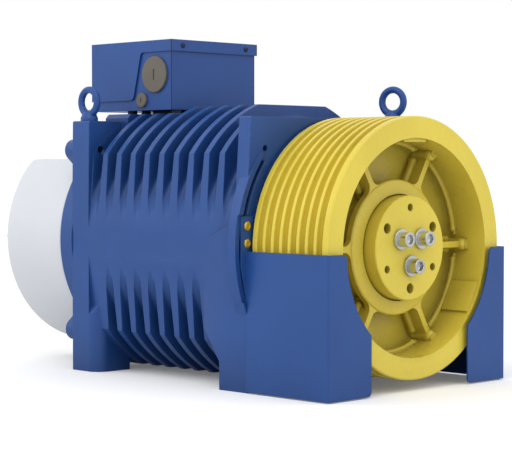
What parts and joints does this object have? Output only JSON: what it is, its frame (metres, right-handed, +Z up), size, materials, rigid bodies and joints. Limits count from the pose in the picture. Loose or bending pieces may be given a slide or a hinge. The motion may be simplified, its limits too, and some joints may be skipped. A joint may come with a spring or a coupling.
{
  "type": "elevator traction machine",
  "caption": "Gearless elevator traction machine: a grooved rope sheave in front of a ribbed motor housing on feet, with rope guards, terminal box and covered disc brake.",
  "frame": {"origin": "on the base plane, midway between the four foot bolts", "axes": "+Y along the shaft from the sheave at the front (-Y) to the brake at the rear (+Y); +Z up from the base to the terminal box; +X to the right seen from the sheave"},
  "size_m": [0.476, 0.8212, 0.5721],
  "materials": {
    "blue_paint": "semi-gloss blue enamel on cast iron",
    "blue_sheet": "satin blue enamel on sheet steel",
    "yellow_paint": "semi-gloss yellow enamel on a machined casting",
    "drum_metal": "smooth satin spun cover",
    "plated_steel": "bright zinc-plated fasteners",
    "yellow_zinc": "yellow-passivated screws",
    "bearing_steel": "ground bearing steel",
    "machined_steel": "turned steel",
    "core_steel": "stacked steel laminations",
    "magnet": "nickel-plated magnets",
    "copper": "lacquered copper windings",
    "brake_iron": "phosphated iron",
    "lining": "aluminium carrier with bonded friction linings",
    "seal_rubber": "moulded rubber",
    "plug_plastic": "grey-brown moulded plugs",
    "black_plastic": "moulded black plastic",
    "pale_plastic": "moulded terminal plastic"
  },
  "bodies": {
    "machine": {"stator_housing": "blue_paint", "front_shield": "blue_paint", "rear_shield": "blue_paint", "front_shield_screws": "plated_steel", "lug_screws": "plated_steel", "stator_core": "core_steel", "stator_winding": "copper", "front_bearing_outer": "bearing_steel", "rear_bearing_outer": "bearing_steel", "shaft_seal": "seal_rubber", "bearing_cap": "machined_steel", "left_rope_guard": "blue_sheet", "right_rope_guard": "blue_sheet", "guard_screws": "yellow_zinc", "terminal_box": "blue_sheet", "terminal_box_lid": "blue_sheet", "lid_screws": "plated_steel", "box_spacers": "black_plastic", "box_screws": "plated_steel", "cable_duct": "black_plastic", "terminal_block": "pale_plastic", "large_plug": "plug_plastic", "small_plug": "plug_plastic", "eyebolts": "blue_paint", "brake_magnet_1": "brake_iron", "brake_magnet_2": "brake_iron", "brake_coils": "copper", "brake_mid_plate": "brake_iron", "brake_sleeves": "plated_steel", "brake_studs": "plated_steel", "encoder_body": "drum_metal", "encoder_bracket": "machined_steel", "brake_cover": "drum_metal", "cover_screws": "plated_steel", "cover_plug": "black_plastic"},
    "rotor": {"rotor_drum": "machined_steel", "rotor_magnets": "magnet", "main_shaft": "machined_steel", "front_bearing_inner": "bearing_steel", "rear_bearing_inner": "bearing_steel", "traction_sheave": "yellow_paint", "sheave_key": "machined_steel", "sheave_screws": "plated_steel", "sheave_washers": "plated_steel", "brake_hub": "machined_steel", "friction_disc_1": "lining", "friction_disc_2": "lining"},
    "front_roller_set": {"front_bearing_rollers": "bearing_steel"},
    "rear_ball_set": {"rear_bearing_balls": "bearing_steel"},
    "armature_1": {"armature_plate_1": "brake_iron", "springs_1": "plated_steel"},
    "armature_2": {"armature_plate_2": "brake_iron", "springs_2": "plated_steel"}
  },
  "joints": [
    {"name": "rotor_spin", "type": "hinge", "parent": "machine", "child": "rotor", "pos_m": [0, 0, 0.225], "axis": [0, 1, 0], "continuous": true},
    {"name": "front_roller_orbit", "type": "hinge", "parent": "machine", "child": "front_roller_set", "pos_m": [0, 0, 0.225], "axis": [0, 1, 0], "continuous": true},
    {"name": "rear_ball_orbit", "type": "hinge", "parent": "machine", "child": "rear_ball_set", "pos_m": [0, 0, 0.225], "axis": [0, 1, 0], "continuous": true},
    {"name": "brake_1_release", "type": "slide", "parent": "machine", "child": "armature_1", "axis": [0, 1, 0], "range_m": [0, 0.0005], "stiffness_N_per_m": 4000, "springref_m": -0.002},
    {"name": "brake_2_release", "type": "slide", "parent": "machine", "child": "armature_2", "axis": [0, 1, 0], "range_m": [0, 0.0005], "stiffness_N_per_m": 4000, "springref_m": -0.002}
  ],
  "couplings": [
    {"joint": "front_roller_orbit", "follows": "rotor_spin", "ratio": 0.4224},
    {"joint": "rear_ball_orbit", "follows": "rotor_spin", "ratio": 0.412}
  ]
}
